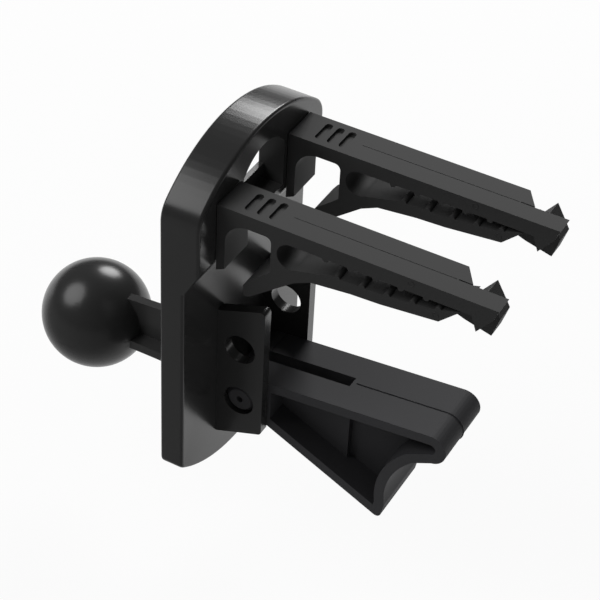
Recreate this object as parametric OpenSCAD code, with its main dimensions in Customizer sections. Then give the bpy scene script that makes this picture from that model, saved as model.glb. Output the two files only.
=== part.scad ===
// Air vent mount: a ball plate, two clip arms and a swinging support leg.
// The origin is the centre of the ball. +Y runs back to the air vent, +Z is up.

/* [Ball and stem] */
// Diameter of the ball
ball_d = 17; // [14:0.5:22]
// From the ball's centre to the front face of the plate
ball_reach = 22.2; // [18:0.2:28]
// Width of the stem's level fin
stem_fin_w = 6; // [4:0.2:9]
// Thickness of the stem's level fin
stem_fin_t = 1.5; // [1:0.1:3]
// Thickness of the stem's upright web
stem_web_t = 1.4; // [1:0.1:3]
// Height of the upright web above the ball's axis, at the plate
stem_web_up = 7.2; // [5:0.2:9]
// Depth of the upright web below the ball's axis
stem_web_down = 2.9; // [1.5:0.1:4]

/* [Plate] */
// Width of the plate
plate_w = 34; // [32:0.5:44]
// Thickness of the lower plate
plate_t = 3.8; // [3:0.1:5]
// Thickness of the arched top
arch_t = 6.2; // [5.8:0.1:8]
// Height of the straight sides above the ball's axis
side_top = 40; // [36:0.5:46]
// Rise of the arch above its straight sides
arch_rise = 6.7; // [5:0.1:9]
// Depth of the straight sides below the ball's axis
side_bottom = 5.9; // [5:0.1:12]
// Drop of the curved bottom edge below its corners
bottom_drop = 6.1; // [3:0.1:8]
// Radius of the upper corners
top_corner_r = 4; // [2:0.5:8]
// Radius of the lower corners
bottom_corner_r = 1.4; // [1:0.2:3]
// Rounding of the plate's outer edges
plate_edge = 0.5; // [0.2:0.1:0.9]
// Height above the ball's axis where the plate starts to thicken
ramp_base = 27.1; // [24:0.1:29]
// Height of the slope between the two thicknesses
ramp_h = 4.2; // [3:0.1:6]

/* [Window in the arch] */
// Width of the window
window_w = 11.2; // [8:0.2:12]
// Radius of the window's arched top
window_r = 7; // [6.2:0.2:12]
// Top of the window below the top of the arch
window_drop = 3.7; // [3:0.1:6]
// Height of the window
window_h = 10.5; // [8:0.5:11]
// Height of the bar that closes the window's foot
bar_h = 2.5; // [1.5:0.1:4]
// Thickness of that bar
bar_t = 0.8; // [0.6:0.1:1.2]
// Width of the recess in the plate's front, round the window
recess_w = 20; // [16:0.5:24]
// Height of that recess
recess_h = 12.6; // [11:0.2:14]
// Depth of that recess
recess_t = 2.2; // [1.4:0.1:2.4]

/* [Ears] */
// Thickness of each ear
ear_t = 1.7; // [1.4:0.1:2.2]
// Length of the ears behind the plate
ear_l = 7.6; // [7:0.1:10]
// Top of the ears at the plate, above the ball's axis
ear_top = 17.7; // [16.5:0.1:19]
// Bottom of the ears at the plate, below the ball's axis
ear_bottom = 5.8; // [4.5:0.1:7]
// Rise of the ears over their length
ear_rise = 2.8; // [0:0.1:3.4]
// Rounding of the ears' rear corners
ear_corner_r = 0.7; // [0.3:0.1:1.5]

/* [Leg seats] */
// Diameter of the seats for the leg's trunnions
seat_d = 4.9; // [4.2:0.1:5.2]
// From the plate's rear face to the middle of the seats
seat_back = 3.7; // [3.6:0.1:4.2]
// Height of the lower seat above the ball's axis
seat_low = 2; // [1:0.1:3]
// Distance between the two seats
seat_pitch = 9.9; // [8.5:0.1:10.5]

/* [Clip arms] */
// Distance between the middles of the two arms
arm_pitch = 19.1; // [18.6:0.1:21]
// Width of an arm
arm_w = 6.2; // [5.8:0.1:7]
// Length of an arm from its shoulder to its tip
arm_l = 41; // [40:0.5:48]
// Top of the arms below the top of the arch
arm_drop = 5.9; // [5:0.1:7]
// Thickness of the upper jaw
jaw_t = 2.2; // [1.9:0.1:2.5]
// Height of the flange at the root of an arm
root_h = 10.4; // [9.4:0.1:11.4]
// Thickness of that flange
root_t = 1.3; // [1.1:0.1:1.8]
// Gap between the plate and the shoulder of an arm
shoulder_gap = 0.1; // [0.05:0.05:0.4]
// Thickness of the spring web that carries the lower jaw
web_t = 0.9; // [0.7:0.1:1.1]
// From the shoulder to the spring web
web_at = 8.3; // [8:0.1:8.6]
// Radius of the round relief behind the spring web
relief_r = 2; // [1.8:0.1:2.1]
// Thickness of the lower jaw
lower_jaw_t = 1.7; // [1.5:0.1:2]
// Opening between the jaws near the spring web
mouth_root = 2.4; // [1.8:0.1:2.8]
// Opening between the jaws near their tips
mouth_tip = 1.4; // [1.1:0.1:1.8]
// Distance between the gripping ridges
ridge_pitch = 3.65; // [3.2:0.05:4.2]
// Radius of the gripping ridges
ridge_r = 0.45; // [0.3:0.05:0.6]
// How much further the slanting end of the jaw's short half reaches at the arm's middle
end_slant = 2; // [1:0.1:2.4]
// Gap between the two halves of the interlocking tips
tip_gap = 0.2; // [0.1:0.05:0.4]
// Inset of the tenon from the arm's sides
tenon_inset = 1; // [0.8:0.1:1.4]
// Length of the tenon inside the plate
tenon_l = 3.2; // [2.4:0.1:3.4]
// Clearance of the tenon in its socket
tenon_gap = 0.05; // [0.03:0.01:0.1]

/* [Finger grooves] */
// Length of each groove across the arm
groove_l = 4; // [3:0.1:4.6]
// Width of each groove
groove_w = 1.1; // [0.8:0.1:1.3]
// Depth of each groove
groove_depth = 0.45; // [0.2:0.05:0.8]
// Distance between the grooves
groove_pitch = 1.85; // [1.6:0.05:2.1]
// From the shoulder to the first groove
groove_at = 3.9; // [3.4:0.1:4.6]

/* [Support leg] */
// Length of the leg from its pivot to its nose
leg_l = 32.4; // [30:0.5:36]
// Radius of the leg's rounded root
lug_r = 3.4; // [3:0.1:3.45]
// Rise of the leg's top from its root to its nose
leg_rise = 3; // [1:0.2:5]
// Radius of the nose
nose_r = 2.5; // [2:0.1:3]
// Drop of the heel below the pivot
heel_drop = 13.2; // [12:0.1:15]
// From the pivot back to the heel
heel_at = 23.2; // [21:0.1:25]
// Thickness of the leg's outer walls
leg_wall = 1.6; // [1.2:0.1:2]
// Radius of the curved cut between nose and heel
cut_r = 11.5; // [10.5:0.1:13]
// From the pivot to the hollow between the leg's walls
hollow_at = 4.3; // [3.9:0.1:6]
// Thickness of each sprung cheek beside the slot
cheek_t = 0.9; // [0.7:0.1:1.4]
// Thickness of the leg's middle web
leg_web = 1.6; // [1:0.1:1.8]
// Clearance between the leg and each ear
leg_side_gap = 0.12; // [0.1:0.02:0.3]
// Width of the slot that lets the cheeks spring together
leg_slot_w = 2; // [1.9:0.1:2.6]
// From the pivot to the end of that slot
leg_slot_l = 14.6; // [12:0.2:18]
// Radial clearance of the trunnions in their seats
trunnion_gap = 0.08; // [0.05:0.01:0.1]
// How far each trunnion stops short of the ear's outer face
trunnion_sunk = 0.3; // [0.1:0.05:0.6]

/* [Hidden] */
$fn = 64;
black = [0.035, 0.035, 0.037];
black_leg = [0.045, 0.045, 0.047];
// Small overlap that makes joined forms one solid
bite = 0.5;
half_w = plate_w / 2;
arch_top = side_top + arch_rise;
plate_back = ball_reach + plate_t;
arch_back = ball_reach + arch_t;
top_r = (half_w * half_w + arch_rise * arch_rise) / (2 * arch_rise);
top_a = asin(half_w / top_r);
bottom_r = (half_w * half_w + bottom_drop * bottom_drop) / (2 * bottom_drop);
bottom_a = asin(half_w / bottom_r);
window_top = arch_top - window_drop;
// Outer and inner faces of the ears
ears_outer = 7.5;
ears_inner = ears_outer - ear_t;
seat_y = plate_back + seat_back;
// Arms: where the shoulder and the top of an arm lie
arm_y = arch_back + shoulder_gap;
arm_z = arch_top - arm_drop;
tongue_w = (arm_w - tip_gap) / 2;
tenon_w = arm_w - 2 * tenon_inset;
tenon_top = -1.2;
tenon_h = root_h - 2.3;
root_fillet = 3.5;
// Places along the arm, measured back from its shoulder
upper_end = arm_l - 7.1;
nose_at = arm_l - 5.2;
relief_at = web_at + web_t + relief_r;
mouth_at = relief_at + 6.1;
mouth_end = nose_at - 3.8;
relief_foot = -jaw_t - 2 * relief_r;
ridge_count = floor((mouth_end - mouth_at) / ridge_pitch) + 1;
// Leg
leg_w = 2 * (ears_inner - leg_side_gap);
trunnion_r = seat_d / 2 - trunnion_gap;
trunnion_l = ears_outer - trunnion_sunk - leg_w / 2;
trunnion_bevel = 0.6;
nose_c = [leg_l - nose_r, lug_r + leg_rise - nose_r];

// Points on an arc, by angle in degrees
function arc(c, r, a0, a1, n = 16) =
    [for (i = [0:n]) let (a = a0 + (a1 - a0) * i / n) [c[0] + r * cos(a), c[1] + r * sin(a)]];

// Draws its child's outline, given in Y and Z, as a slab centred on x of the given width
module side_slab(width, x = 0)
    translate([x - width / 2, 0, 0])
        rotate([90, 0, 90])
            linear_extrude(width)
                children();

// Draws its child's outline, given in X and Z, as a slab between two places on Y
module face_slab(y0, y1)
    translate([0, y1, 0])
        rotate([90, 0, 0])
            linear_extrude(y1 - y0)
                children();

module round_corners(r)
    offset(r = r)
        offset(delta = -r)
            children();

// The plate's outline: straight sides, an arched top and a curved bottom
module plate_outline()
    intersection() {
        round_corners(top_corner_r)
            polygon(concat(
                arc([0, arch_top - top_r], top_r, 90 - top_a, 90 + top_a, 32),
                [[-half_w, -2 * side_top], [half_w, -2 * side_top]]
            ));
        round_corners(bottom_corner_r)
            polygon(concat(
                arc([0, bottom_r - side_bottom - bottom_drop], bottom_r, 270 - bottom_a, 270 + bottom_a, 32),
                [[half_w, 2 * side_top], [-half_w, 2 * side_top]]
            ));
    }

// A slab of the plate's outline with its edges rounded
module rounded_plate(y1)
    hull()
        for (a = [0:30:90])
            face_slab(ball_reach + plate_edge * (1 - sin(a)), y1 - plate_edge * (1 - sin(a)))
                offset(delta = -plate_edge * (1 - cos(a)))
                    plate_outline();

// Side view of the space that the thick arch takes, down to the foot of its slope
module arch_space()
    side_slab(plate_w + 2)
        polygon([
            [ball_reach - 1, ramp_base],
            [plate_back, ramp_base],
            [arch_back, ramp_base + ramp_h],
            [arch_back, arch_top + 1],
            [ball_reach - 1, arch_top + 1]
        ]);

module stem() {
    stem_start = ball_d / 4;
    stem_end = ball_reach + bite;
    web_up_ball = stem_web_up - 1.4;
    translate([-stem_fin_w / 2, stem_start, 0.1 - stem_fin_t])
        cube([stem_fin_w, stem_end - stem_start, stem_fin_t]);
    side_slab(stem_web_t)
        polygon([
            [stem_start, -stem_web_down],
            [stem_end, -stem_web_down],
            [stem_end, stem_web_up],
            [stem_start, web_up_ball]
        ]);
}

module ear()
    difference() {
        side_slab(ear_t)
            round_corners(ear_corner_r)
                polygon([
                    [plate_back - plate_t / 2, ear_top],
                    [plate_back, ear_top],
                    [plate_back + ear_l, ear_top + ear_rise],
                    [plate_back + ear_l, -ear_bottom + ear_rise],
                    [plate_back, -ear_bottom],
                    [plate_back - plate_t / 2, -ear_bottom]
                ]);
        for (z = [seat_low, seat_low + seat_pitch])
            translate([0, seat_y, z])
                rotate([0, 90, 0])
                    cylinder(h = 3 * ear_t, d = seat_d, center = true);
    }

// The window's outline down to a given height
module window_outline(foot)
    intersection() {
        translate([0, window_top - window_r])
            circle(window_r, $fn = 96);
        translate([-window_w / 2, foot])
            square([window_w, window_top - foot]);
    }

// The window between the arms, with the shallow recess in front of it
module arch_window() {
    foot = window_top - window_h;
    recess_back = ball_reach + recess_t;
    face_slab(recess_back + bar_t, arch_back + 1)
        window_outline(foot);
    face_slab(ball_reach - 1, arch_back + 1)
        window_outline(foot + bar_h);
    face_slab(ball_reach - 1, recess_back)
        round_corners(2)
            translate([-recess_w / 2, window_top - recess_h])
                square([recess_w, recess_h]);
}

module tenon_socket()
    translate([-tenon_w / 2 - tenon_gap, arch_back - tenon_l - tenon_gap, arm_z + tenon_top - tenon_h - tenon_gap])
        cube([tenon_w + 2 * tenon_gap, tenon_l + 1, tenon_h + 2 * tenon_gap]);

module ball_plate()
    color(black) {
        difference() {
            union() {
                rounded_plate(plate_back);
                intersection() {
                    rounded_plate(arch_back);
                    arch_space();
                }
                for (side = [-1, 1])
                    translate([side * (ears_outer - ear_t / 2), 0, 0])
                        ear();
                stem();
            }
            arch_window();
            for (side = [-1, 1])
                translate([side * arm_pitch / 2, 0, 0])
                    tenon_socket();
        }
        sphere(d = ball_d, $fn = 96);
    }

// Side views of the arm: the first coordinate runs back from the shoulder, and the
// second runs up from the arm's top face

// The upper jaw with the flange at its root and the fillets of its window
module upper_jaw_side() {
    corner_r = 0.9;
    polygon(concat(
        [[0, 0], [upper_end, 0], [upper_end, -jaw_t], [web_at + web_t / 2, -jaw_t]],
        [[web_at + web_t / 2, -jaw_t - corner_r]],
        arc([web_at - corner_r, -jaw_t - corner_r], corner_r, 0, 90, 6),
        arc([root_t + root_fillet, -jaw_t - root_fillet], root_fillet, 90, 180, 12),
        [[root_t, -root_h], [0, -root_h - root_t / 2]]
    ));
}

// Height of the lower jaw's gripping face at a place along the arm
function lower_face(y) =
    lookup(y, [
        [relief_at, relief_foot],
        [mouth_at, -jaw_t - mouth_root],
        [mouth_at + (mouth_end - mouth_at) / 2, -jaw_t - mouth_root + 0.2],
        [mouth_end, -jaw_t - mouth_tip],
        [nose_at, -jaw_t - 0.25]
    ]);

// The spring web, the lower jaw that it carries, and the finger tail
module lower_jaw_side()
    difference() {
        polygon([
            [web_at, -jaw_t / 2],
            [relief_at, -jaw_t / 2],
            [relief_at, relief_foot],
            [mouth_at, lower_face(mouth_at)],
            [(mouth_at + mouth_end) / 2, lower_face((mouth_at + mouth_end) / 2)],
            [mouth_end, lower_face(mouth_end)],
            [nose_at, lower_face(nose_at)],
            [nose_at - 2.8, lower_face(nose_at) - 2.75],
            [mouth_end - 0.6, lower_face(mouth_end - 0.6) - lower_jaw_t],
            [(mouth_at + mouth_end) / 2, lower_face((mouth_at + mouth_end) / 2) - lower_jaw_t],
            [mouth_at + 3, lower_face(mouth_at + 3) - lower_jaw_t - 0.1],
            [relief_at + 3.2, relief_foot - 0.8],
            [relief_at + 0.7, relief_foot - 2],
            [relief_at - 5.8, relief_foot - 7.2],
            [relief_at - 6.5, relief_foot - 7.5],
            [relief_at - 6.8, relief_foot - 7.2],
            [relief_at - 6.9, relief_foot - 5.6],
            [relief_at - 6.2, relief_foot - 4.6],
            [web_at, relief_foot - 1.8]
        ]);
        translate([relief_at, -jaw_t - relief_r])
            circle(relief_r);
    }

// The upper jaw's tongue: half the arm's width, with its barb pointing down
module upper_tongue_side()
    polygon([
        [upper_end - 1, 0],
        [arm_l, 0],
        [arm_l - 0.7, -1.8],
        [arm_l - 2.8, -jaw_t - 2.3],
        [arm_l - 3.6, -jaw_t],
        [upper_end - 1, -jaw_t]
    ]);

// The lower jaw's tongue: the other half, with its barb pointing up past the upper jaw's end
module lower_tongue_side()
    polygon([
        [nose_at - 3, lower_face(nose_at) - 2.7],
        [nose_at - 3, lower_face(nose_at - 3) - 0.1],
        [nose_at + 0.2, -jaw_t - 0.8],
        [arm_l - 3, -0.4],
        [arm_l - 1.4, -3.1],
        [arm_l - 0.9, -4],
        [arm_l - 1.8, -7.1],
        [nose_at - 0.6, lower_face(nose_at) - 3.6]
    ]);

// The slanting end of the upper jaw's other half, seen from above
module slanting_end()
    translate([0, 0, -jaw_t])
        linear_extrude(jaw_t)
            polygon([
                [-arm_w / 2, upper_end - 1],
                [-arm_w / 2, upper_end],
                [-tip_gap / 2, upper_end + end_slant],
                [-tip_gap / 2, upper_end - 1]
            ]);

// Half-round ridges across both jaws, those of one jaw between those of the other
module ridges_side()
    for (i = [0:ridge_count - 1]) {
        at = mouth_at - ridge_pitch / 4 + i * ridge_pitch;
        translate([at, -jaw_t])
            circle(ridge_r, $fn = 24);
        translate([at + ridge_pitch / 2, lower_face(at + ridge_pitch / 2)])
            circle(ridge_r, $fn = 24);
    }

module finger_grooves()
    for (i = [0:2])
        translate([0, groove_at + i * groove_pitch, -groove_depth])
            linear_extrude(groove_depth + 1) {
                square([groove_l - groove_w, groove_w], center = true);
                for (side = [-1, 1])
                    translate([side * (groove_l - groove_w) / 2, 0])
                        circle(d = groove_w, $fn = 32);
            }

// One arm, moulded in one piece, with its shoulder at the origin and its top at zero
module arm() {
    difference() {
        union() {
            side_slab(arm_w) {
                upper_jaw_side();
                lower_jaw_side();
                ridges_side();
            }
            side_slab(tongue_w, (arm_w - tongue_w) / 2)
                upper_tongue_side();
            slanting_end();
            side_slab(tongue_w, (tongue_w - arm_w) / 2)
                lower_tongue_side();
            translate([-tenon_w / 2, -tenon_l - shoulder_gap, tenon_top - tenon_h])
                cube([tenon_w, tenon_l + shoulder_gap + bite, tenon_h]);
        }
        finger_grooves();
    }
}

module arm_at(side)
    color(black)
        translate([side * arm_pitch / 2, arm_y, arm_z])
            arm();

module arm_right() arm_at(1);
module arm_left() arm_at(-1);

// Side view of the leg, with its pivot at the origin
module leg_outline() {
    cut_c = [heel_at + 0.4 + cut_r, nose_c[1] - nose_r - 10];
    cut_a = acos((nose_c[0] - 2.4 - cut_c[0]) / cut_r);
    circle(lug_r);
    round_corners(0.8)
        polygon(concat(
            [[0, lug_r]],
            arc(nose_c, nose_r, 94, -80, 16),
            arc(cut_c, cut_r, cut_a, 190, 24),
            [[heel_at, -heel_drop - 0.5], [2.2, -lug_r - 0.35], [0, -lug_r]]
        ));
}

// The hollow between the leg's walls, open at both sides
module leg_hollow_outline()
    intersection() {
        offset(delta = -leg_wall)
            leg_outline();
        translate([hollow_at, -2 * heel_drop])
            square([leg_l, 3 * heel_drop]);
    }

module trunnion()
    difference() {
        union() {
            cylinder(h = trunnion_l - trunnion_bevel, r = trunnion_r);
            translate([0, 0, -bite])
                cylinder(h = bite, r = trunnion_r);
            translate([0, 0, trunnion_l - trunnion_bevel])
                cylinder(h = trunnion_bevel, r1 = trunnion_r, r2 = trunnion_r - trunnion_bevel);
        }
        translate([0, 0, trunnion_l - 1])
            cylinder(h = 2, r = 0.5, $fn = 24);
    }

module support_leg() {
    web_hollow_w = (leg_w - leg_web) / 2;
    cheek_hollow_w = (leg_w - leg_slot_w) / 2 - cheek_t;
    color(black_leg)
        translate([0, seat_y, seat_low]) {
            difference() {
                side_slab(leg_w)
                    leg_outline();
                for (side = [-1, 1]) {
                    side_slab(cheek_hollow_w + 1, side * (leg_w / 2 - cheek_hollow_w / 2 + 0.5))
                        leg_hollow_outline();
                    side_slab(web_hollow_w + 1, side * (leg_w / 2 - web_hollow_w / 2 + 0.5))
                        intersection() {
                            leg_hollow_outline();
                            translate([leg_slot_l + cheek_t, -2 * heel_drop])
                                square([leg_l, 3 * heel_drop]);
                        }
                }
                translate([-leg_slot_w / 2, -2 * lug_r, -2 * heel_drop])
                    cube([leg_slot_w, leg_slot_l + 2 * lug_r, 3 * heel_drop]);
            }
            for (side = [-1, 1])
                translate([side * leg_w / 2, 0, 0])
                    rotate([0, side * 90, 0])
                        trunnion();
        }
}

ball_plate();
arm_right();
arm_left();
support_leg();
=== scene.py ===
"""Air vent ball mount: looks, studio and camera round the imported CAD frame."""
import logging
import math
from dataclasses import dataclass, field
from enum import Enum

import bpy
import numpy as np
from mathutils import Matrix


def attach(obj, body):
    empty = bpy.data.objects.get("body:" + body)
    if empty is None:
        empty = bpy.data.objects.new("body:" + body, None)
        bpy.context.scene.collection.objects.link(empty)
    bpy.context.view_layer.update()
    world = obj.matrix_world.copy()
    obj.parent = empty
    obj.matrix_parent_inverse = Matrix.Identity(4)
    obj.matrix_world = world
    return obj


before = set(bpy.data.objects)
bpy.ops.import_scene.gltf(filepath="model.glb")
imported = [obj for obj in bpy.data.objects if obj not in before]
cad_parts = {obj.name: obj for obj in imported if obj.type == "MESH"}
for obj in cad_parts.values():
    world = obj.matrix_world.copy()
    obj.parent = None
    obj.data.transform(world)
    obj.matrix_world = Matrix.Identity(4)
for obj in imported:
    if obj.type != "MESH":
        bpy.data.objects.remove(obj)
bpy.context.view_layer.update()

LOG = logging.getLogger("vent_mount")
MM = 0.001
MM_IN_METRE = 1000.0
MIX_FIRST, MIX_SECOND, MIX_RESULT = 6, 7, 2
Vec3 = tuple[float, float, float]
Colour = tuple[float, float, float, float]
Form = tuple[np.ndarray, list[list[int]]]


class Plastic(Enum):
    """The kinds of moulded plastic on the mount."""

    GLOSS = "gloss"
    SATIN = "satin"


@dataclass(frozen=True)
class MouldedFinish:
    """One black moulded plastic, from its pigment to its grain, with lengths in millimetres."""

    name: str
    kind: Plastic
    pigment: Colour
    scuffed: Colour
    roughness: float
    smudge: float
    grain_size: float
    grain_depth: float
    flow_depth: float
    sheen_ior: float = 1.5
    parting_at: tuple[float, ...] = ()
    parting_width: float = 0.2
    parting_height: float = 0.1


PLATE_FINISH = MouldedFinish(
    name="plate_black", kind=Plastic.GLOSS, pigment=(0.0030, 0.0030, 0.0032, 1.0),
    scuffed=(0.006, 0.006, 0.0063, 1.0), roughness=0.23, smudge=0.07, grain_size=0.32,
    grain_depth=0.004, flow_depth=0.09,
)
ARM_FINISH = MouldedFinish(
    name="arm_black", kind=Plastic.SATIN, pigment=(0.0032, 0.0032, 0.0034, 1.0),
    scuffed=(0.008, 0.008, 0.0084, 1.0), roughness=0.30, smudge=0.12, grain_size=0.22,
    grain_depth=0.006, flow_depth=0.12, parting_at=(-9.55, 9.55), parting_width=0.22, parting_height=0.06,
)
LEG_FINISH = MouldedFinish(
    name="leg_black", kind=Plastic.SATIN, pigment=(0.0032, 0.0032, 0.0034, 1.0),
    scuffed=(0.008, 0.008, 0.0084, 1.0), roughness=0.27, smudge=0.10, grain_size=0.26,
    grain_depth=0.006, flow_depth=0.14, parting_at=(0.0,), parting_width=0.26, parting_height=0.12,
)


@dataclass
class NodeGroupWorkshop:
    """Builds the shader node groups that the finishes share, each once.

    Scales are in patterns per metre, and the cloud and speck limits are noise values.
    """

    built: dict[str, bpy.types.NodeTree] = field(default_factory=dict)
    grain_octaves: float = 2.0
    flow_octaves: float = 1.0
    cloud_octaves: float = 4.0
    flow_scale: float = 130.0
    speck_scale: float = 420.0
    speck_reach: float = 0.09
    cloud_low: float = 0.35
    cloud_high: float = 0.7
    cloud_contrast: float = 0.6

    def _new(
        self, name: str, inputs: dict[str, float], outputs: tuple[str, ...]
    ) -> bpy.types.NodeTree:
        """Starts an empty group with a vector input and named value sockets.

        Args:
            name: The group's name.
            inputs: Value inputs with their defaults.
            outputs: Value outputs.

        Returns:
            The new node tree.
        """
        tree = bpy.data.node_groups.new(name, "ShaderNodeTree")
        tree.interface.new_socket("Place", in_out="INPUT", socket_type="NodeSocketVector")
        for key, value in inputs.items():
            made = tree.interface.new_socket(key, in_out="INPUT", socket_type="NodeSocketFloat")
            made.default_value = value
        for key in outputs:
            tree.interface.new_socket(key, in_out="OUTPUT", socket_type="NodeSocketFloat")
        self.built[name] = tree
        return tree

    def mould_grain(self) -> bpy.types.NodeTree:
        """Fine spark-eroded grain over a slow waviness left by the plastic's flow.

        Height = grain depth * fine noise + flow depth * broad noise, both in millimetres.

        Returns:
            The shared group.
        """
        if "MouldGrain" in self.built:
            return self.built["MouldGrain"]
        tree = self._new(
            "MouldGrain", {"Grain Size": 0.3, "Grain Depth": 0.01, "Flow Depth": 0.05}, ("Height",)
        )
        nodes, links = tree.nodes, tree.links
        start, end = nodes.new("NodeGroupInput"), nodes.new("NodeGroupOutput")
        pitch = nodes.new("ShaderNodeMath")
        pitch.operation = "DIVIDE"
        pitch.inputs[0].default_value = MM_IN_METRE
        fine, broad = nodes.new("ShaderNodeTexNoise"), nodes.new("ShaderNodeTexNoise")
        fine.inputs["Detail"].default_value = self.grain_octaves
        broad.inputs["Scale"].default_value = self.flow_scale
        broad.inputs["Detail"].default_value = self.flow_octaves
        grain, flow, total = (nodes.new("ShaderNodeMath") for _ in range(3))
        grain.operation = flow.operation = "MULTIPLY"
        total.operation = "ADD"
        links.new(start.outputs["Grain Size"], pitch.inputs[1])
        links.new(pitch.outputs[0], fine.inputs["Scale"])
        for noise in (fine, broad):
            links.new(start.outputs["Place"], noise.inputs["Vector"])
        links.new(fine.outputs["Fac"], grain.inputs[0])
        links.new(start.outputs["Grain Depth"], grain.inputs[1])
        links.new(broad.outputs["Fac"], flow.inputs[0])
        links.new(start.outputs["Flow Depth"], flow.inputs[1])
        links.new(grain.outputs[0], total.inputs[0])
        links.new(flow.outputs[0], total.inputs[1])
        links.new(total.outputs[0], end.inputs["Height"])
        return tree

    def handling(self) -> bpy.types.NodeTree:
        """Cloudy finger marks and faint dust, as two masks from 0 to 1.

        Marks = broad noise stretched between its low and high limits. Dust = 1 at the middle of a
        Voronoi cell, falling to 0 at the specks' reach.

        Returns:
            The shared group.
        """
        if "Handling" in self.built:
            return self.built["Handling"]
        tree = self._new("Handling", {"Cloud Size": 9.0}, ("Marks", "Dust"))
        nodes, links = tree.nodes, tree.links
        start, end = nodes.new("NodeGroupInput"), nodes.new("NodeGroupOutput")
        pitch = nodes.new("ShaderNodeMath")
        pitch.operation = "DIVIDE"
        pitch.inputs[0].default_value = MM_IN_METRE
        cloud, specks = nodes.new("ShaderNodeTexNoise"), nodes.new("ShaderNodeTexVoronoi")
        cloud.inputs["Detail"].default_value = self.cloud_octaves
        cloud.inputs["Roughness"].default_value = self.cloud_contrast
        specks.inputs["Scale"].default_value = self.speck_scale
        spread, near = nodes.new("ShaderNodeMapRange"), nodes.new("ShaderNodeMapRange")
        spread.inputs["From Min"].default_value = self.cloud_low
        spread.inputs["From Max"].default_value = self.cloud_high
        near.inputs["From Max"].default_value = self.speck_reach
        near.inputs["To Min"].default_value = 1.0
        near.inputs["To Max"].default_value = 0.0
        links.new(start.outputs["Cloud Size"], pitch.inputs[1])
        links.new(pitch.outputs[0], cloud.inputs["Scale"])
        for texture in (cloud, specks):
            links.new(start.outputs["Place"], texture.inputs["Vector"])
        links.new(cloud.outputs["Fac"], spread.inputs["Value"])
        links.new(specks.outputs["Distance"], near.inputs["Value"])
        links.new(spread.outputs[0], end.inputs["Marks"])
        links.new(near.outputs[0], end.inputs["Dust"])
        return tree

    def parting_line(self) -> bpy.types.NodeTree:
        """A fine raised line where the two halves of the mould met, across the X axis.

        Ridge = 1 at the place on X, falling to 0 in a smooth step at the width beside it.

        Returns:
            The shared group.
        """
        if "PartingLine" in self.built:
            return self.built["PartingLine"]
        tree = self._new("PartingLine", {"At": 0.0, "Width": 0.2}, ("Ridge",))
        nodes, links = tree.nodes, tree.links
        start, end = nodes.new("NodeGroupInput"), nodes.new("NodeGroupOutput")
        split = nodes.new("ShaderNodeSeparateXYZ")
        scale, offset, size, ramp = (nodes.new("ShaderNodeMath") for _ in range(4))
        scale.operation, offset.operation = "MULTIPLY", "SUBTRACT"
        size.operation, ramp.operation = "ABSOLUTE", "DIVIDE"
        scale.inputs[1].default_value = MM_IN_METRE
        level = nodes.new("ShaderNodeMapRange")
        level.interpolation_type = "SMOOTHSTEP"
        level.inputs["To Min"].default_value = 1.0
        level.inputs["To Max"].default_value = 0.0
        links.new(start.outputs["Place"], split.inputs[0])
        links.new(split.outputs["X"], scale.inputs[0])
        links.new(scale.outputs[0], offset.inputs[0])
        links.new(start.outputs["At"], offset.inputs[1])
        links.new(offset.outputs[0], size.inputs[0])
        links.new(size.outputs[0], ramp.inputs[0])
        links.new(start.outputs["Width"], ramp.inputs[1])
        links.new(ramp.outputs[0], level.inputs["Value"])
        links.new(level.outputs[0], end.inputs["Ridge"])
        return tree


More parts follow.
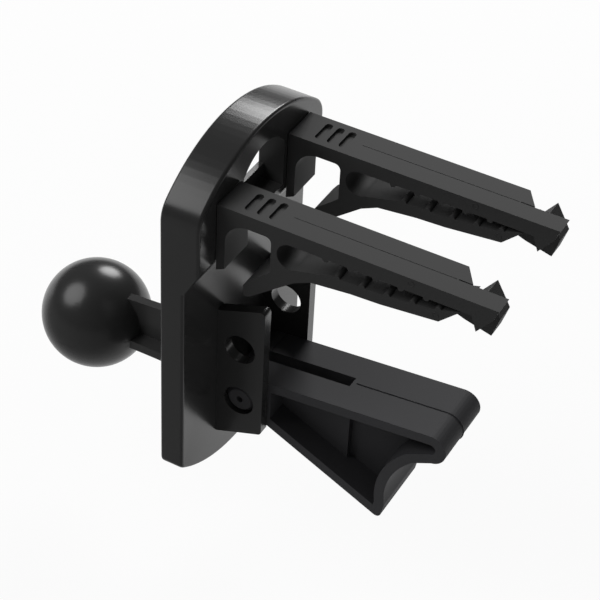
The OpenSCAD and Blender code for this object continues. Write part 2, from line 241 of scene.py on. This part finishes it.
@dataclass
class FinishShop:
    """Turns a moulded finish into a Blender material."""

    groups: NodeGroupWorkshop
    cloud_size: float = 9.0
    wear_share: float = 0.4
    dust_share: float = 0.25
    ball_edge: tuple[float, float] = (8.6 * MM, 9.0 * MM)
    ball_polish: float = 0.03

    def _group(
        self, nodes: bpy.types.Nodes, tree: bpy.types.NodeTree, values: dict[str, float]
    ) -> bpy.types.Node:
        """Places a shared group in a material.

        Args:
            nodes: The material's nodes.
            tree: The group.
            values: Socket names and values.

        Returns:
            The group's node.
        """
        node = nodes.new("ShaderNodeGroup")
        node.node_tree = tree
        for key, value in values.items():
            node.inputs[key].default_value = value
        return node

    def _math(
        self,
        material: bpy.types.Material,
        kind: str,
        first: bpy.types.NodeSocket,
        second: bpy.types.NodeSocket | float,
    ) -> bpy.types.NodeSocket:
        """Adds one Math node.

        Args:
            material: The material to add to.
            kind: The operation.
            first: The socket that feeds the first input.
            second: A socket or a number for the second input.

        Returns:
            The node's output socket.
        """
        tree = material.node_tree
        node = tree.nodes.new("ShaderNodeMath")
        node.operation = kind
        tree.links.new(first, node.inputs[0])
        if isinstance(second, bpy.types.NodeSocket):
            tree.links.new(second, node.inputs[1])
        else:
            node.inputs[1].default_value = second
        return node.outputs[0]

    def finished(self, finish: MouldedFinish) -> bpy.types.Material:
        """Gives the material of a finish, and builds it the first time."""
        return bpy.data.materials.get(finish.name) or self.material(finish)

    def material(self, finish: MouldedFinish) -> bpy.types.Material:
        """Builds the material of one finish.

        Args:
            finish: The finish.

        Returns:
            The finished material.
        """
        material = bpy.data.materials.new(finish.name)
        material.use_nodes = True
        tree = material.node_tree
        nodes, links = tree.nodes, tree.links
        shader = nodes["Principled BSDF"]
        shader.inputs["IOR"].default_value = finish.sheen_ior
        place = nodes.new("ShaderNodeTexCoord").outputs["Object"]
        grain_values = {
            "Grain Size": finish.grain_size,
            "Grain Depth": finish.grain_depth,
            "Flow Depth": finish.flow_depth,
        }
        grain = self._group(nodes, self.groups.mould_grain(), grain_values)
        marks = self._group(nodes, self.groups.handling(), {"Cloud Size": self.cloud_size})
        links.new(place, grain.inputs["Place"])
        links.new(place, marks.inputs["Place"])

        wear = self._math(material, "MULTIPLY", marks.outputs["Marks"], self.wear_share)
        specks = self._math(material, "MULTIPLY", marks.outputs["Dust"], self.dust_share)
        colour = nodes.new("ShaderNodeMix")
        colour.data_type = "RGBA"
        colour.inputs[MIX_FIRST].default_value = finish.pigment
        colour.inputs[MIX_SECOND].default_value = finish.scuffed
        links.new(self._math(material, "ADD", wear, specks), colour.inputs[0])
        links.new(colour.outputs[MIX_RESULT], shader.inputs["Base Color"])

        height = grain.outputs["Height"]
        for at in finish.parting_at:
            line_values = {"At": at, "Width": finish.parting_width}
            line = self._group(nodes, self.groups.parting_line(), line_values)
            links.new(place, line.inputs["Place"])
            ridge = self._math(material, "MULTIPLY", line.outputs["Ridge"], finish.parting_height)
            height = self._math(material, "ADD", height, ridge)
        bump = nodes.new("ShaderNodeBump")
        bump.inputs["Strength"].default_value = 1.0
        bump.inputs["Distance"].default_value = MM
        links.new(height, bump.inputs["Height"])
        links.new(bump.outputs["Normal"], shader.inputs["Normal"])

        gloss = self._math(material, "MULTIPLY", marks.outputs["Marks"], finish.smudge)
        gloss = self._math(material, "ADD", gloss, finish.roughness)
        if finish.kind is Plastic.GLOSS:
            gloss = self._math(material, "SUBTRACT", gloss, self._ball_mask(material, place))
        links.new(gloss, shader.inputs["Roughness"])
        return material

    def _ball_mask(
        self, material: bpy.types.Material, place: bpy.types.NodeSocket
    ) -> bpy.types.NodeSocket:
        """How much smoother the ball is than the plate: a step at the ball's radius from the origin.

        Args:
            material: The material to add to.
            place: Object coordinates.

        Returns:
            The amount to take from the roughness.
        """
        tree = material.node_tree
        length = tree.nodes.new("ShaderNodeVectorMath")
        length.operation = "LENGTH"
        tree.links.new(place, length.inputs[0])
        step = tree.nodes.new("ShaderNodeMapRange")
        step.inputs["From Min"].default_value, step.inputs["From Max"].default_value = self.ball_edge
        step.inputs["To Min"].default_value = self.ball_polish
        step.inputs["To Max"].default_value = 0.0
        tree.links.new(length.outputs["Value"], step.inputs["Value"])
        return step.outputs[0]


@dataclass
class MouldedNode:
    """A CAD node that keeps its shape and gets a moulded finish and softened edges."""

    node: str
    finish: MouldedFinish
    edge_radius: float = 0.12 * MM
    edge_angle: float = math.radians(38.0)
    edge_steps: int = 2
    weld_reach: float = 0.002 * MM
    flat_angle: float = math.radians(0.4)

    def dress(self, shop: FinishShop) -> bpy.types.Object:
        """Gives the node its material and its edge rounding.

        Args:
            shop: The shop that makes the material.

        Returns:
            The node's object.
        """
        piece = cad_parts[self.node]
        piece.data.materials.clear()
        piece.data.materials.append(shop.finished(self.finish))
        self.soften(piece)
        return piece

    def soften(self, piece: bpy.types.Object) -> None:
        """Joins the loose triangles, merges flat ones and rounds the hard edges.

        Args:
            piece: The node's object.
        """
        weld = piece.modifiers.new("weld", "WELD")
        weld.merge_threshold = self.weld_reach
        flat = piece.modifiers.new("flat", "DECIMATE")
        flat.decimate_type = "DISSOLVE"
        flat.angle_limit = self.flat_angle
        bevel = piece.modifiers.new("edges", "BEVEL")
        bevel.width = self.edge_radius
        bevel.segments = self.edge_steps
        bevel.limit_method = "ANGLE"
        bevel.angle_limit = self.edge_angle
        bevel.use_clamp_overlap = True
        bevel.harden_normals = False
        smooth = piece.modifiers.new("normals", "WEIGHTED_NORMAL")
        smooth.keep_sharp = True
        for polygon in piece.data.polygons:
            polygon.use_smooth = True


@dataclass
class MouldMark:
    """A set of small raised forms on a moulding, made as one piece that rides with it."""

    name: str
    finish: MouldedFinish
    body: str

    def build(self, shop: FinishShop, forms: list[Form]) -> bpy.types.Object:
        """Joins the forms into one smooth mesh in the moulding's own finish.

        Args:
            shop: The shop that makes the material.
            forms: Points and faces of each form.

        Returns:
            The piece.
        """
        faces, count = [], 0
        for form_points, form_faces in forms:
            faces += [[index + count for index in face] for face in form_faces]
            count += len(form_points)
        mesh = bpy.data.meshes.new(self.name)
        mesh.from_pydata(np.vstack([form_points for form_points, _ in forms]).tolist(), [], faces)
        for polygon in mesh.polygons:
            polygon.use_smooth = True
        mesh.materials.append(shop.finished(self.finish))
        piece = bpy.data.objects.new(self.name, mesh)
        bpy.context.scene.collection.objects.link(piece)
        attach(piece, self.body)
        return piece


@dataclass
class EjectorMarks:
    """The faint raised rings that the mould's ejector pins left on each arm's flank."""

    flank_x: tuple[float, float] = (12.65 * MM, -6.45 * MM)
    places: tuple[tuple[float, float], ...] = ((57.2 * MM, 40.0 * MM), (61.0 * MM, 36.45 * MM))
    ring_radius: float = 0.42 * MM
    bead_radius: float = 0.05 * MM
    steps: tuple[int, int] = (36, 8)

    def ring(self, x: float, y: float, z: float) -> Form:
        """One torus that stands half out of a flank.

        Point = centre + (bead * sin b) along X + (radius + bead * cos b) round the centre at angle a.

        Args:
            x: The flank's place on X.
            y: The ring's place on Y.
            z: The ring's place on Z.

        Returns:
            Its points and its quads.
        """
        around, across = self.steps
        turns = np.arange(around) * 2.0 * np.pi / around
        bends = np.arange(across) * 2.0 * np.pi / across
        turn, bead = np.meshgrid(turns, bends, indexing="ij")
        reach = self.ring_radius + self.bead_radius * np.cos(bead)
        out = x + self.bead_radius * np.sin(bead)
        points = np.stack([out, y + reach * np.cos(turn), z + reach * np.sin(turn)], axis=-1)
        row, step = np.meshgrid(np.arange(around), np.arange(across), indexing="ij")
        after, beside = (row + 1) % around, (step + 1) % across
        here, there = row * across, after * across
        corners = [here + step, there + step, there + beside, here + beside]
        return points.reshape(-1, 3), np.stack(corners, axis=-1).reshape(-1, 4).tolist()

    def build(self, shop: FinishShop) -> bpy.types.Object:
        """Builds the rings of both arms as one piece."""
        rings = [self.ring(x, y, z) for x in self.flank_x for y, z in self.places]
        return MouldMark("ejector_marks", ARM_FINISH, "mount").build(shop, rings)


@dataclass
class MouldSeams:
    """Fine beads where the mould's halves met: over the leg's top and nose, and along each arm.

    A bead grows from a point to its full radius over taper times that radius at both ends.
    """

    leg_pivot: tuple[float, float] = (29.7 * MM, 2.0 * MM)
    leg_start: tuple[float, float] = (15.2 * MM, 4.93 * MM)
    nose_centre: tuple[float, float] = (29.9 * MM, 3.9 * MM)
    nose_radius: float = 2.5 * MM
    leg_bead: float = 0.13 * MM
    arm_x: tuple[float, float] = (9.55 * MM, -9.55 * MM)
    arm_top: float = 40.8 * MM
    arm_span: tuple[float, float] = (38.4 * MM, 62.2 * MM)
    arm_bead: float = 0.05 * MM
    sides: int = 8
    taper: float = 3.0
    nose_turn: tuple[float, float] = (94.0, -62.0)
    nose_steps: int = 30
    line_steps: int = 40
    first_steps: int = 6

    def bead(self, x: float, path: np.ndarray, radius: float) -> Form:
        """A round bead carried along a path of Y and Z.

        Point = path + r * (cos a * the path's normal + sin a * X), where r grows from 0 at both
        ends to the radius as a quarter circle.

        Args:
            x: The path's place on X.
            path: The path's points, one row of Y and Z each.
            radius: The bead's radius.

        Returns:
            Its points and its faces, closed at both ends.
        """
        way = np.gradient(path, axis=0)
        way /= np.linalg.norm(way, axis=1)[:, None]
        normal = np.stack([-way[:, 1], way[:, 0]], axis=1)
        run = np.concatenate([[0.0], np.cumsum(np.linalg.norm(np.diff(path, axis=0), axis=1))])
        share = np.clip(np.minimum(run, run[-1] - run) / (self.taper * radius), 0.0, 1.0)
        reach = radius * np.sqrt(1.0 - (1.0 - share) ** 2)
        turn = np.arange(self.sides) * 2.0 * np.pi / self.sides
        flat = path[1:-1, None, :] + (reach[1:-1, None] * np.cos(turn))[..., None] * normal[1:-1, None, :]
        rings = np.concatenate([x + (reach[1:-1, None] * np.sin(turn))[..., None], flat], axis=-1)
        ends = np.array([[x, *path[0]], [x, *path[-1]]])
        points = np.vstack([ends, rings.reshape(-1, 3)])
        count, side = self.sides, np.arange(self.sides)
        beside = (side + 1) % count
        here = 2 + count * np.arange(len(path) - 3)[:, None]
        there = here + count
        quads = np.stack([here + side, here + beside, there + beside, there + side], axis=-1)
        last = 2 + count * (len(path) - 3)
        faces = quads.reshape(-1, 4).tolist()
        faces += np.stack([np.zeros(count, int), 2 + beside, 2 + side], axis=-1).tolist()
        faces += np.stack([np.ones(count, int), last + side, last + beside], axis=-1).tolist()
        return points, faces

    def leg_path(self) -> np.ndarray:
        """The leg's seam: straight from the slot's end to the nose, then round it on a circle.

        Returns:
            The path's points.
        """
        angles = np.radians(np.linspace(*self.nose_turn, self.nose_steps))
        circle = np.stack([np.cos(angles), np.sin(angles)], axis=1)
        nose = np.array(self.nose_centre) + self.nose_radius * circle
        straight = np.linspace(self.leg_start, nose[0], self.line_steps)[:-1]
        close = np.linspace(0.0, 1.0, self.first_steps)[:-1, None]
        dense = straight[0] + (straight[1] - straight[0]) * close
        return np.vstack([dense, straight[1:], nose]) + np.array(self.leg_pivot)

    def arm_path(self) -> np.ndarray:
        """An arm's seam: a straight line at the height of its top.

        Share along the line = (1 - cos a) / 2, which puts the points closer at both ends.

        Returns:
            The path's points.
        """
        share = 0.5 - 0.5 * np.cos(np.linspace(0.0, np.pi, self.line_steps))
        along = self.arm_span[0] + (self.arm_span[1] - self.arm_span[0]) * share
        return np.stack([along, np.full_like(along, self.arm_top)], axis=1)

    def build(self, shop: FinishShop) -> list[bpy.types.Object]:
        """Builds the seams of the leg and of both arms.

        Args:
            shop: The shop that makes the materials.

        Returns:
            The leg's piece and the arms' piece.
        """
        leg = [self.bead(0.0, self.leg_path(), self.leg_bead)]
        arms = [self.bead(x, self.arm_path(), self.arm_bead) for x in self.arm_x]
        return [
            MouldMark("leg_seam", LEG_FINISH, "leg").build(shop, leg),
            MouldMark("arm_seams", ARM_FINISH, "mount").build(shop, arms),
        ]


@dataclass(frozen=True)
class Softbox:
    """A soft round light that faces the mount.

    Toward is its direction from the mount in the camera's right, up and back.
    """

    name: str
    toward: Vec3
    far: float
    width: float
    watts: float


@dataclass
class Studio:
    """The pale sweep, its soft lights and the photograph's camera.

    The floor lies below the leg's lowest pose. Glossy rays see it darker on the near side, as if a
    dark card lay there.
    """

    floor_z: float = -27.0 * MM
    azimuth: float = 117.27
    elevation: float = 40.17
    roll: float = 3.146
    distance: float = 307.27 * MM
    focal_px: float = 1992.8
    shift: tuple[float, float] = (-31.274 * MM, -1.857 * MM)
    seen_share: float = 0.93
    mirrored_far: float = 1.0
    mirrored_near: float = 0.17
    card_from: float = -30.0 * MM
    card_to: float = 35.0 * MM
    frame_px: float = 600.0
    sensor: float = 36.0
    clip: tuple[float, float] = (0.01, 20.0)
    aim: Vec3 = (0.0, 30.0 * MM, 12.0 * MM)
    paper: Colour = (0.92, 0.92, 0.92, 1.0)
    white: Colour = (1.0, 1.0, 1.0, 1.0)
    mirror_grey: Colour = (0.8, 0.8, 0.8, 1.0)
    fill_strength: float = 0.14
    mirror_strength: float = 0.06
    floor_reach: float = 3.0
    floor_steps: tuple[int, int] = (12, 64)
    softboxes: tuple[Softbox, ...] = (
        Softbox("key_above", (0.23, 0.94, -0.24), 0.55, 0.26, 1.5),
        Softbox("fill_left", (-0.68, 0.55, 0.48), 0.6, 0.46, 1.6),
    )

    def axes(self) -> np.ndarray:
        """The camera's right, up and back directions, as rows, from azimuth, elevation and roll.

        Returns:
            A 3 by 3 rotation matrix.
        """
        az, el, roll = (math.radians(a) for a in (self.azimuth, self.elevation, self.roll))
        back = np.array([math.cos(el) * math.sin(az), -math.cos(el) * math.cos(az), math.sin(el)])
        right = np.array([math.cos(az), math.sin(az), 0.0])
        up = np.cross(back, right)
        turned_right = math.cos(roll) * right + math.sin(roll) * up
        turned_up = -math.sin(roll) * right + math.cos(roll) * up
        return np.array([turned_right, turned_up, back])

    def camera(self) -> bpy.types.Object:
        """Makes the camera, where the photograph was taken from.

        Returns:
            The camera.
        """
        rows = self.axes()
        place = rows.T @ np.array([-self.shift[0], -self.shift[1], self.distance])
        lens = bpy.data.cameras.new("photo_camera")
        lens.sensor_width = self.sensor
        lens.lens = self.focal_px * self.sensor / self.frame_px
        lens.clip_start, lens.clip_end = self.clip
        camera = bpy.data.objects.new("photo_camera", lens)
        turn = Matrix([list(row) for row in rows.T]).to_4x4()
        camera.matrix_world = Matrix.Translation(place.tolist()) @ turn
        bpy.context.scene.collection.objects.link(camera)
        return camera

    def light(self, box: Softbox) -> None:
        """Hangs one softbox.

        Args:
            box: The softbox.
        """
        way = self.axes().T @ np.array(box.toward)
        way /= np.linalg.norm(way)
        lamp = bpy.data.lights.new(box.name, "AREA")
        lamp.shape, lamp.size, lamp.energy = "DISK", box.width, box.watts
        holder = bpy.data.objects.new(box.name, lamp)
        side = np.cross([0.0, 0.0, 1.0], way)
        side /= np.linalg.norm(side)
        turn = Matrix(np.array([side, np.cross(way, side), way]).T.tolist()).to_4x4()
        holder.matrix_world = Matrix.Translation((np.array(self.aim) + way * box.far).tolist()) @ turn
        bpy.context.scene.collection.objects.link(holder)

    def world(self) -> None:
        """A surround that is white to the camera, a weak fill for shading and dim in reflections."""
        world = bpy.data.worlds.new("studio")
        world.use_nodes = True
        nodes, links = world.node_tree.nodes, world.node_tree.links
        nodes.clear()
        path = nodes.new("ShaderNodeLightPath")
        seen, fill, mirrored = (nodes.new("ShaderNodeBackground") for _ in range(3))
        for shade, colour, strength in (
            (seen, self.white, 1.0),
            (fill, self.white, self.fill_strength),
            (mirrored, self.mirror_grey, self.mirror_strength),
        ):
            shade.inputs["Color"].default_value = colour
            shade.inputs["Strength"].default_value = strength
        both, pick = nodes.new("ShaderNodeMixShader"), nodes.new("ShaderNodeMixShader")
        end = nodes.new("ShaderNodeOutputWorld")
        links.new(path.outputs["Is Glossy Ray"], both.inputs[0])
        links.new(fill.outputs[0], both.inputs[1])
        links.new(mirrored.outputs[0], both.inputs[2])
        links.new(path.outputs["Is Camera Ray"], pick.inputs[0])
        links.new(both.outputs[0], pick.inputs[1])
        links.new(seen.outputs[0], pick.inputs[2])
        links.new(pick.outputs[0], end.inputs["Surface"])
        bpy.context.scene.world = world

    def sweep(self) -> None:
        """The floor: a wide level disc, as a grid of radius and angle closed at its middle."""
        steps, spokes = self.floor_steps
        radii = np.linspace(0.0, self.floor_reach, steps)[1:]
        turns = np.linspace(0.0, 2.0 * np.pi, spokes, endpoint=False)
        ring, angle = np.meshgrid(radii, turns, indexing="ij")
        level = np.full_like(ring, self.floor_z)
        points = np.stack([ring * np.cos(angle), ring * np.sin(angle), level], axis=-1)
        points = np.vstack([[[0.0, 0.0, self.floor_z]], points.reshape(-1, 3)])
        count = len(turns)
        near = np.arange(count)
        after = (near + 1) % count
        faces = np.stack([np.zeros(count, int), 1 + near, 1 + after], axis=-1).tolist()
        here = (1 + count * np.arange(len(radii) - 1))[:, None]
        there = here + count
        quads = np.stack([here + near, there + near, there + after, here + after], axis=-1)
        faces += quads.reshape(-1, 4).tolist()
        mesh = bpy.data.meshes.new("sweep")
        mesh.from_pydata(points.tolist(), [], faces)
        floor = bpy.data.objects.new("sweep", mesh)
        floor.data.materials.append(self.sweep_material())
        bpy.context.scene.collection.objects.link(floor)

    def sweep_material(self) -> bpy.types.Material:
        """White paper that shows as white, takes a faint shadow and mirrors darker on the near side.

        Returns:
            The material.
        """
        material = bpy.data.materials.new("sweep_paper")
        material.use_nodes = True
        nodes, links = material.node_tree.nodes, material.node_tree.links
        nodes.clear()
        paper = nodes.new("ShaderNodeBsdfDiffuse")
        glow, mirror = nodes.new("ShaderNodeEmission"), nodes.new("ShaderNodeEmission")
        paper.inputs["Color"].default_value = self.paper
        glow.inputs["Strength"].default_value = 1.0
        path, share = nodes.new("ShaderNodeLightPath"), nodes.new("ShaderNodeMath")
        share.operation = "MULTIPLY"
        share.inputs[1].default_value = self.seen_share
        place, split = nodes.new("ShaderNodeTexCoord"), nodes.new("ShaderNodeSeparateXYZ")
        shade = nodes.new("ShaderNodeMapRange")
        shade.interpolation_type = "SMOOTHSTEP"
        for key, value in (
            ("From Min", self.card_from),
            ("From Max", self.card_to),
            ("To Min", self.mirrored_far),
            ("To Max", self.mirrored_near),
        ):
            shade.inputs[key].default_value = value
        seen, mirrored = nodes.new("ShaderNodeMixShader"), nodes.new("ShaderNodeMixShader")
        end = nodes.new("ShaderNodeOutputMaterial")
        links.new(place.outputs["Object"], split.inputs[0])
        links.new(split.outputs["X"], shade.inputs["Value"])
        links.new(shade.outputs[0], mirror.inputs["Strength"])
        links.new(path.outputs["Is Camera Ray"], share.inputs[0])
        links.new(share.outputs[0], seen.inputs[0])
        links.new(paper.outputs[0], seen.inputs[1])
        links.new(glow.outputs[0], seen.inputs[2])
        links.new(path.outputs["Is Glossy Ray"], mirrored.inputs[0])
        links.new(seen.outputs[0], mirrored.inputs[1])
        links.new(mirror.outputs[0], mirrored.inputs[2])
        links.new(mirrored.outputs[0], end.inputs["Surface"])
        return material

    def build(self) -> None:
        """Puts up the camera, the floor, the surround and the lights."""
        bpy.context.scene.view_settings.view_transform = "Standard"
        bpy.context.scene.camera = self.camera()
        self.sweep()
        self.world()
        for box in self.softboxes:
            self.light(box)
        LOG.info("studio built")


def main() -> None:
    """Dresses each node, adds the mould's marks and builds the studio."""
    logging.basicConfig(level=logging.INFO, format="%(name)s: %(message)s")
    shop = FinishShop(NodeGroupWorkshop())
    mouldings = (
        MouldedNode("ball_plate", PLATE_FINISH, edge_radius=0.15 * MM),
        MouldedNode("arm_right", ARM_FINISH),
        MouldedNode("arm_left", ARM_FINISH),
        MouldedNode("support_leg", LEG_FINISH, edge_radius=0.18 * MM),
    )
    pieces = [moulding.dress(shop) for moulding in mouldings]
    pieces += [EjectorMarks().build(shop), *MouldSeams().build(shop)]
    for piece in pieces:
        LOG.info("%s: %d faces in %s", piece.name, len(piece.data.polygons), piece.active_material.name)
    Studio().build()
    bpy.context.view_layer.update()


if __name__ == "__main__":
    main()
